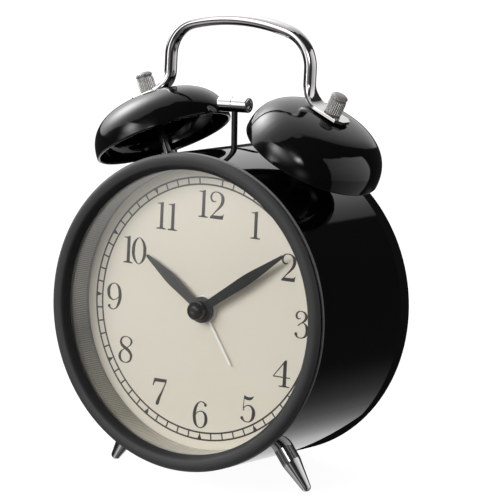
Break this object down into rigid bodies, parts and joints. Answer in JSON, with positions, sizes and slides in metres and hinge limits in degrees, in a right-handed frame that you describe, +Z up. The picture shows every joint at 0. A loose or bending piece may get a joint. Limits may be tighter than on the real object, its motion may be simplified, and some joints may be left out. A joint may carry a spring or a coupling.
{
  "type": "analog alarm clock",
  "caption": "Round alarm clock with domed bells, a swinging hammer, an arched carrying handle and splayed feet; its battery movement is set by knobs at the back.",
  "frame": {"origin": "on the surface the clock stands on, at the centre of its bounding box seen from above", "axes": "+Z up, +X towards the dial's three o'clock seen from the front, the dial faces -Y and is leaned back by 6.92 degrees; the drum's axis runs along (0, 0.9927, -0.1205)"},
  "size_m": [0.0968, 0.065, 0.14],
  "materials": {
    "black_gloss": "gloss stoved enamel",
    "black_satin": "satin enamel",
    "clear_glass": "clear, polished",
    "grey_diffuser": "ribbed translucent grey",
    "dial_cream": "matt printed",
    "inner_grey": "moulded",
    "cover_black": "fine satin moulding",
    "steel": "zinc plated",
    "nickel": "nickel plated",
    "cell_sleeve": "gloss printed sleeve",
    "hand_black": "matt black",
    "hand_grey": "satin dark grey",
    "alarm_silver": "satin",
    "brass_turned": "turned",
    "gear_nylon": "natural, moulded",
    "knob_black": "moulded",
    "movement_black": "moulded",
    "board_green": "solder resist",
    "copper_wire": "enamelled winding",
    "lamp_white": "clear moulding",
    "chrome_rod": "polished",
    "arm_black": "black oxide",
    "magnet_grey": "sintered"
  },
  "bodies": {
    "case": {"housing": "black_gloss", "bezel": "black_satin", "lens": "clear_glass", "light_ring": "grey_diffuser", "dial": "dial_cream", "inner_frame": "inner_grey", "rear_cover": "cover_black", "rear_cover_screws": "steel", "battery": "cell_sleeve", "battery_contacts": "nickel", "movement_plate": "movement_black", "movement_case": "movement_black", "movement_screws": "steel", "circuit_board": "board_green", "quartz_crystal": "nickel", "motor_stator": "steel", "motor_coil": "copper_wire", "dial_lamp": "lamp_white", "alarm_switch_body": "movement_black", "light_switch_body": "movement_black", "handle": "chrome_rod", "bell_left": "black_gloss", "bell_right": "black_gloss", "bell_post_left": "nickel", "bell_post_right": "nickel", "thumb_nut_left": "nickel", "thumb_nut_right": "nickel", "post_nuts": "steel", "hammer_pin": "steel", "striker_bracket": "steel", "striker_yoke": "steel", "striker_coil": "copper_wire", "foot_left": "chrome_rod", "foot_right": "chrome_rod", "foot_nuts": "steel"},
    "minute_drive": {"minute_hand": "hand_black", "centre_cap": "hand_black", "minute_arbor": "brass_turned"},
    "hour_drive": {"hour_hand": "hand_grey", "hour_wheel": "gear_nylon"},
    "alarm_drive": {"alarm_hand": "alarm_silver", "alarm_wheel": "gear_nylon"},
    "time_setting": {"minute_wheel": "gear_nylon", "time_set_shaft": "gear_nylon", "time_set_knob": "knob_black"},
    "alarm_setting": {"alarm_set_shaft": "gear_nylon", "alarm_set_knob": "knob_black"},
    "hammer": {"hammer_head": "chrome_rod", "hammer_arm": "arm_black", "hammer_magnet": "magnet_grey"},
    "alarm_slider": {"alarm_switch": "knob_black"},
    "light_key": {"light_button": "knob_black"},
    "battery_lid": {"battery_door": "cover_black"}
  },
  "joints": [
    {"name": "minute_turn", "type": "hinge", "parent": "case", "child": "minute_drive", "pos_m": [0, -0.00111, 0.05112], "axis": [0, 0.9927, -0.1205], "continuous": true},
    {"name": "hour_turn", "type": "hinge", "parent": "case", "child": "hour_drive", "pos_m": [0, -0.00111, 0.05112], "axis": [0, 0.9927, -0.1205], "continuous": true},
    {"name": "time_knob_turn", "type": "hinge", "parent": "case", "child": "time_setting", "pos_m": [-0.00742, 0.02705, 0.05073], "axis": [0, 0.9927, -0.1205], "continuous": true},
    {"name": "alarm_knob_turn", "type": "hinge", "parent": "case", "child": "alarm_setting", "pos_m": [0.00996, 0.02705, 0.05073], "axis": [0, 0.9927, -0.1205], "continuous": true},
    {"name": "alarm_turn", "type": "hinge", "parent": "case", "child": "alarm_drive", "pos_m": [0, -0.00111, 0.05112], "axis": [0, 0.9927, -0.1205], "continuous": true},
    {"name": "hammer_swing", "type": "hinge", "parent": "case", "child": "hammer", "pos_m": [0, 0.00299, 0.08487], "axis": [0, 0.9927, -0.1205], "range_deg": [-2, 7.2], "stiffness_Nm_per_rad": 0.006, "springref_deg": 0.16},
    {"name": "alarm_switch_slide", "type": "slide", "parent": "case", "child": "alarm_slider", "axis": [1, 0, 0], "range_m": [0, 0.004]},
    {"name": "light_button_press", "type": "slide", "parent": "case", "child": "light_key", "axis": [0, -0.9927, 0.1205], "range_m": [0, 0.0012], "stiffness_N_per_m": 300},
    {"name": "battery_door_slide", "type": "slide", "parent": "case", "child": "battery_lid", "axis": [0, 0.9927, -0.1205], "range_m": [0, 0.012]}
  ],
  "couplings": [
    {"joint": "hour_turn", "follows": "minute_turn", "ratio": 0.083333},
    {"joint": "time_knob_turn", "follows": "minute_turn", "ratio": -0.33333},
    {"joint": "alarm_turn", "follows": "alarm_knob_turn", "ratio": -0.3}
  ]
}
